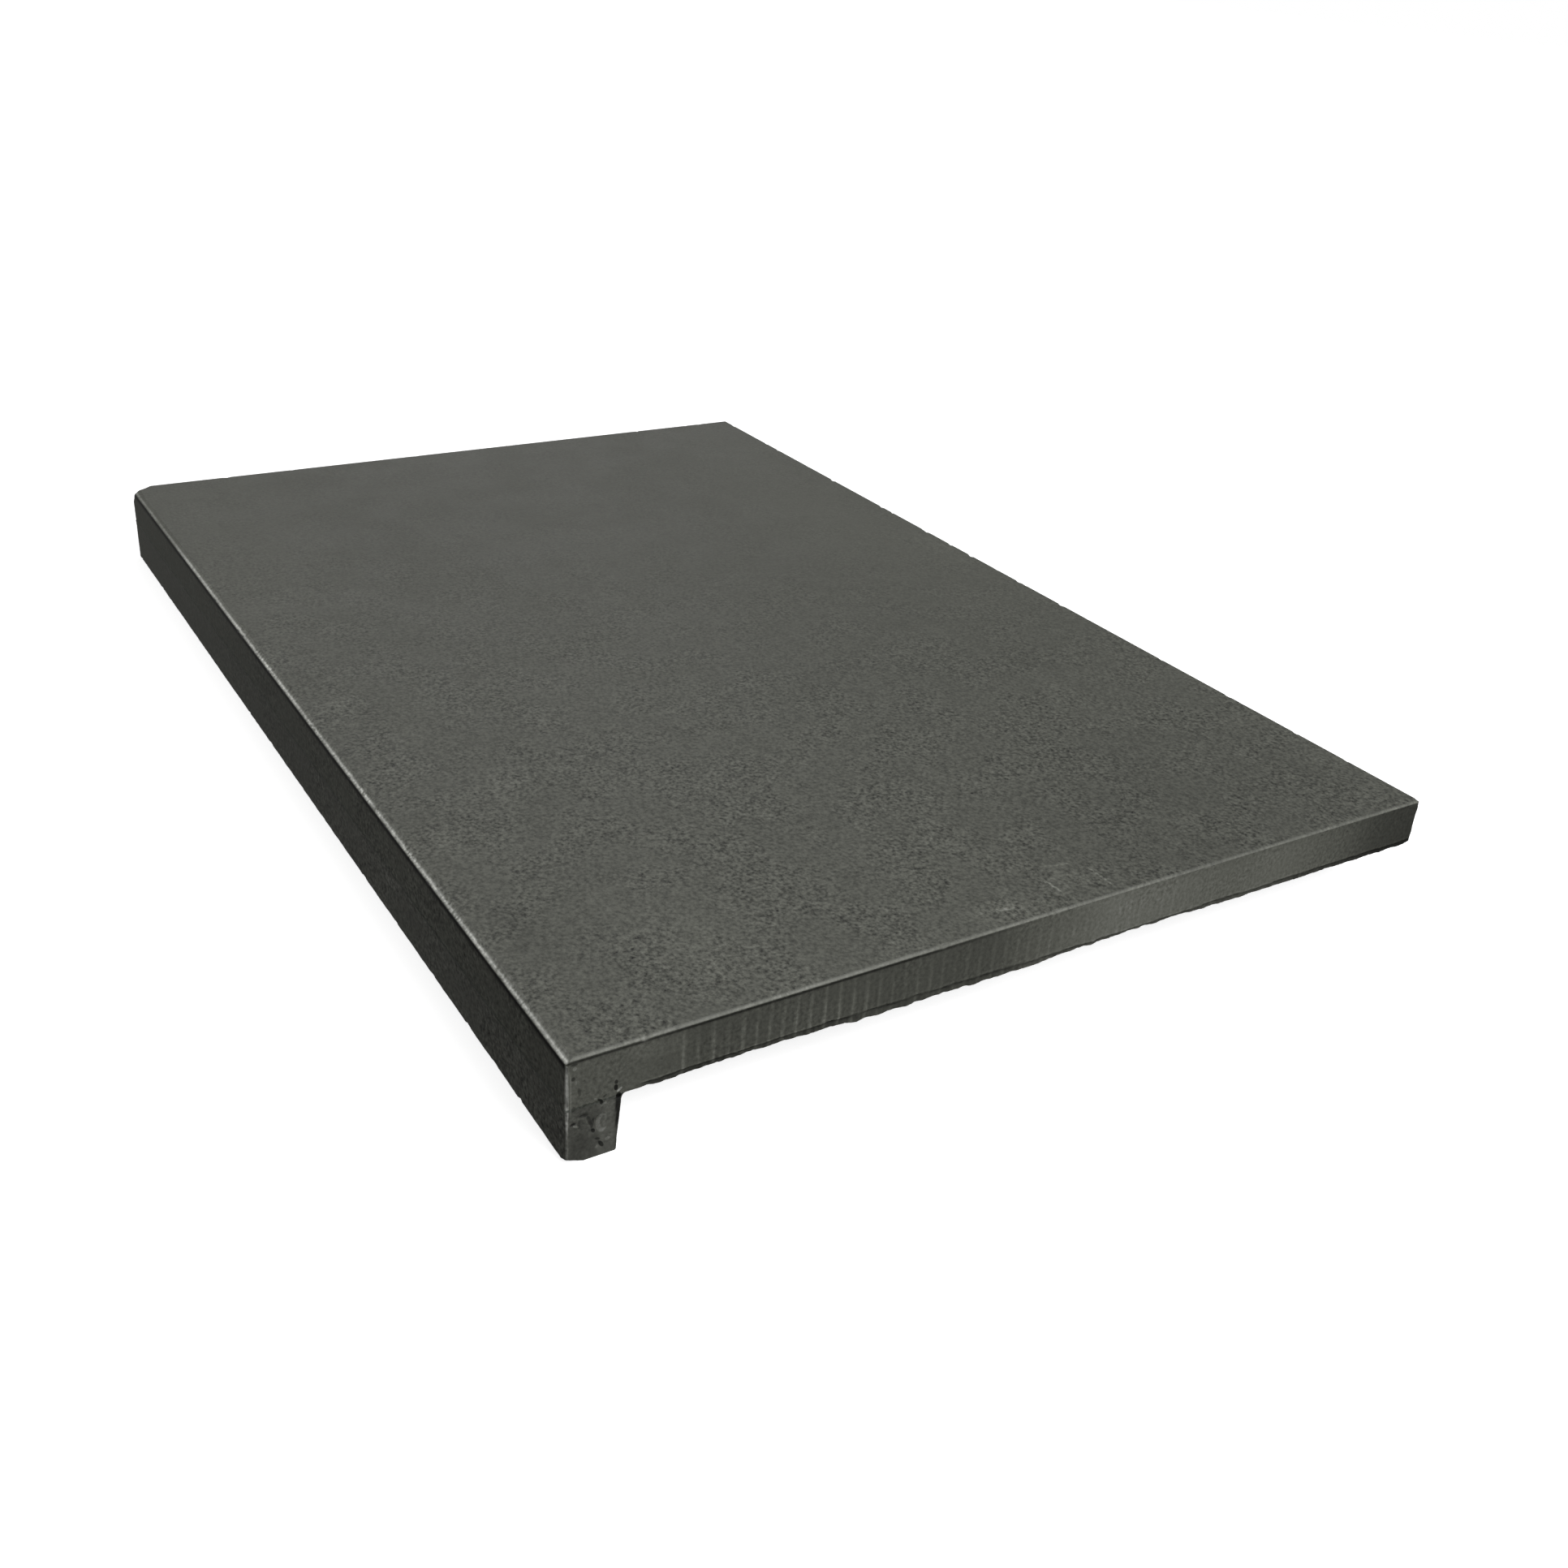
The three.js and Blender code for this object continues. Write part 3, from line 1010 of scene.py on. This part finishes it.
def basalt(name, colour, grain_depth, roughness, marks):
    """Fine dark stone: cloudy patches, pitted grain, rare pores and flecks, and the mesh's tone."""
    material, tree = new_tree(name)
    place = position(tree)
    grain = blobs(tree, place, GRAIN_SIZE, 2.0, 0.55)
    pores = dots(tree, place, cell=5.2, radius=0.65, share=0.35, seed=17)
    flecks = dots(tree, place, cell=8.5, radius=0.5, share=0.18, seed=5)
    tone = put(tree, "ShaderNodeAttribute", attribute_name=TONE).outputs["Fac"]
    contrast = grain_contrast(tree, place)
    darker = maths(tree, "SUBTRACT", grain, maths(tree, "MULTIPLY", pores, 0.14))
    patterns = [
        tone,
        spread(tree, blobs(tree, place, 130, 1.0), 0.3, 0.7, 0.985, 1.015),
        spread(tree, blobs(tree, place, 19, 2.0), 0.3, 0.7, 0.985, 1.015),
        maths(tree, "MULTIPLY_ADD", maths(tree, "SUBTRACT", darker, 0.5), contrast, 1.0),
        spread(tree, flecks, 0, 1, 1, 1.25),
        near_end_marks(tree, place),
        marks(tree, place),
    ]
    height = maths(tree, "SUBTRACT", grain, maths(tree, "MULTIPLY", pores, 0.8))
    smoothest, roughest = roughness - ROUGHNESS_CHANGE, roughness + ROUGHNESS_CHANGE
    dull = spread(tree, blobs(tree, place, 30, 2.0), 0.3, 0.7, smoothest, roughest)
    finish_material(tree, colour, product(tree, patterns), height, grain_depth, dull, 0.4)
    return material


def resin_material():
    """Dark stone resin with dust set in it."""
    material, tree = new_tree("stone_resin")
    place = position(tree)
    dust = blobs(tree, place, 1.1, 3.0, 0.6)
    tone = put(tree, "ShaderNodeAttribute", attribute_name=TONE).outputs["Fac"]
    back = put(tree, "ShaderNodeSeparateXYZ", {0: place}).outputs["Y"]
    scraped = spread(tree, back, STRIP_INNER - 1.5, STRIP_INNER - 0.5, 2.3, 1.0)
    dusty = spread(tree, dust, 0.3, 0.7, 0.75, 1.35)
    patterns = [tone, scraped, dusty, near_end_marks(tree, place)]
    dull = spread(tree, dust, 0.3, 0.7, 0.35, 0.6)
    finish_material(tree, RESIN, product(tree, patterns), dust, 0.08, dull, 0.5)
    return material


# ---- Pieces ----


def add_piece(piece, node, material):
    """Puts a detailed piece in its CAD node's place."""
    piece.data.materials.append(material)
    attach(piece, "root")
    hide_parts(node)


def build_tile():
    slab_stone = basalt("honed_basalt", HONED, 0.10, 0.60, walking_face_marks)
    strip_stone = basalt("sawn_basalt", SAWN, 0.08, 0.70, drop_face_marks)
    add_piece(make_slab(), "top_slab", slab_stone)
    add_piece(make_strip(), "drop_strip", strip_stone)
    add_piece(make_bond(), "epoxy_bond", resin_material())


# ---- Camera, floor and light ----

CAMERA_PLACE = (678.4, -375.2, 368.8)
CAMERA_YAW, CAMERA_PITCH, CAMERA_ROLL = 147.83, -28.34, -3.52  # degrees
CAMERA_LENS, CAMERA_SENSOR = 37.95, 36
CAMERA_SHIFT = 0.0202

WHITE = (1, 1, 1, 1)
CARD_COLOUR = (0.8, 0.8, 0.8)
CARD_GLOW = 0.77  # of white, near the object
GLOW_DISTANCES = (500, 1400)  # between these it rises to white
FLOOR_REACH, FLOOR_THICKNESS = 6000, 20
STAGE_GAP, BLOCK_GAP = 0.02, 0.05  # left between the stone and the stage
BLOCK_INSET, BLOCK_FRONT = 45, -60
DOME_BRIGHTNESS = 0.22
# Soft lights: name, place, how far along X they face, side and watts.
LIGHTS = (
    ("key", (1350, 480, 1350), 0, 1300, 31.5),
    ("fill", (-800, -1350, 450), 0, 1400, 9.5),
    ("sheen", (-1500, 500, 700), -100, 900, 2.3),
)


def add_camera():
    """The camera, turned by its yaw from +X, its pitch above the horizon and its roll."""
    yaw, pitch, roll = (math.radians(a) for a in (CAMERA_YAW, CAMERA_PITCH, CAMERA_ROLL))
    level_share = math.cos(pitch)
    forward = Vector((level_share * math.cos(yaw), level_share * math.sin(yaw), math.sin(pitch)))
    level = forward.cross(Vector((0, 0, 1))).normalized()
    down = forward.cross(level)
    right = math.cos(roll) * level + math.sin(roll) * down
    up = math.sin(roll) * level - math.cos(roll) * down
    data = bpy.data.cameras.new("camera")
    data.lens, data.sensor_width, data.shift_x = CAMERA_LENS, CAMERA_SENSOR, CAMERA_SHIFT
    data.clip_start, data.clip_end = 0.01, 50
    camera = bpy.data.objects.new("camera", data)
    turn = Matrix((right, up, -forward)).transposed().to_4x4()
    camera.matrix_world = Matrix.Translation(Vector(CAMERA_PLACE) * MM) @ turn
    bpy.context.scene.collection.objects.link(camera)
    bpy.context.scene.camera = camera


def pale_card():
    """Stage card that glows for the camera alone, so its shadows are soft and its far end white."""
    material, tree = new_tree("pale_card")
    diffuse = put(tree, "ShaderNodeBsdfDiffuse", {"Color": (*CARD_COLOUR, 1)}).outputs[0]
    length = put(tree, "ShaderNodeVectorMath", {0: position(tree)}, operation="LENGTH")
    lift = spread(tree, length.outputs["Value"], *GLOW_DISTANCES, CARD_GLOW, 1.0)
    seen = put(tree, "ShaderNodeLightPath").outputs["Is Camera Ray"]
    glow = {"Color": WHITE, "Strength": maths(tree, "MULTIPLY", seen, lift)}
    emission = put(tree, "ShaderNodeEmission", glow).outputs[0]
    both = put(tree, "ShaderNodeAddShader", {0: diffuse, 1: emission}).outputs[0]
    put(tree, "ShaderNodeOutputMaterial", {"Surface": both})
    return material


def stage_box(name, low, high, material):
    """A box from low to high that isn't part of the object, and casts no light back on it."""
    (x0, y0, z0), (x1, y1, z1) = low, high
    points = [(x, y, z) for z in (z0, z1) for x, y in ((x0, y0), (x1, y0), (x1, y1), (x0, y1))]
    faces = [(3, 2, 1, 0), (4, 5, 6, 7), (0, 1, 5, 4), (1, 2, 6, 5), (2, 3, 7, 6), (3, 0, 4, 7)]
    mesh = bpy.data.meshes.new(name)
    mesh.from_pydata([tuple(c * MM for c in p) for p in points], [], faces)
    mesh.materials.append(material)
    made = bpy.data.objects.new(name, mesh)
    bpy.context.scene.collection.objects.link(made)
    made.visible_diffuse = False
    made.visible_glossy = False


def add_stage():
    """A pale floor, and a low pale block that carries the slab where a wall would."""
    card = pale_card()
    low = (-FLOOR_REACH, -FLOOR_REACH, -FLOOR_THICKNESS)
    stage_box("floor", low, (FLOOR_REACH, FLOOR_REACH, -STAGE_GAP), card)
    low = (-HALF_LENGTH + BLOCK_INSET, BLOCK_FRONT, 0)
    high = (HALF_LENGTH - BLOCK_INSET, BACK - BLOCK_INSET, UNDERSIDE - BLOCK_GAP)
    stage_box("support_block", low, high, card)


def add_panel(name, place, target_x, size, power):
    """A soft square light of that many watts, facing the middle line of the walking face."""
    target = (target_x, 0, TOP)
    data = bpy.data.lights.new(name, "AREA")
    data.shape, data.size, data.energy = "SQUARE", size * MM, power
    panel = bpy.data.objects.new(name, data)
    aim = (Vector(target) - Vector(place)).to_track_quat("-Z", "Y")
    panel.matrix_world = Matrix.Translation(Vector(place) * MM) @ aim.to_matrix().to_4x4()
    bpy.context.scene.collection.objects.link(panel)


def add_world():
    """White behind the object for the camera, and a soft grey dome for the light."""
    world = bpy.data.worlds.new("studio")
    world.use_nodes = True
    tree = world.node_tree
    tree.nodes.clear()
    direction = put(tree, "ShaderNodeTexCoord").outputs["Generated"]
    parts = put(tree, "ShaderNodeSeparateXYZ", {0: direction})
    height = spread(tree, parts.outputs["Z"], -0.05, 0.35, 0.0, DOME_BRIGHTNESS)
    side = spread(tree, parts.outputs["Y"], -0.6, 0.3, 0.55, 1.0)
    dome = maths(tree, "MULTIPLY", height, side)
    seen = put(tree, "ShaderNodeLightPath").outputs["Is Camera Ray"]
    lit = put(tree, "ShaderNodeBackground", {"Color": WHITE, "Strength": dome}).outputs[0]
    shown = put(tree, "ShaderNodeBackground", {"Color": WHITE, "Strength": 1.0}).outputs[0]
    mixed = put(tree, "ShaderNodeMixShader", {0: seen, 1: lit, 2: shown}).outputs[0]
    put(tree, "ShaderNodeOutputWorld", {"Surface": mixed})
    bpy.context.scene.world = world


bpy.context.scene.view_settings.view_transform = "Standard"
build_tile()
add_camera()
add_stage()
add_world()
for light in LIGHTS:
    add_panel(*light)
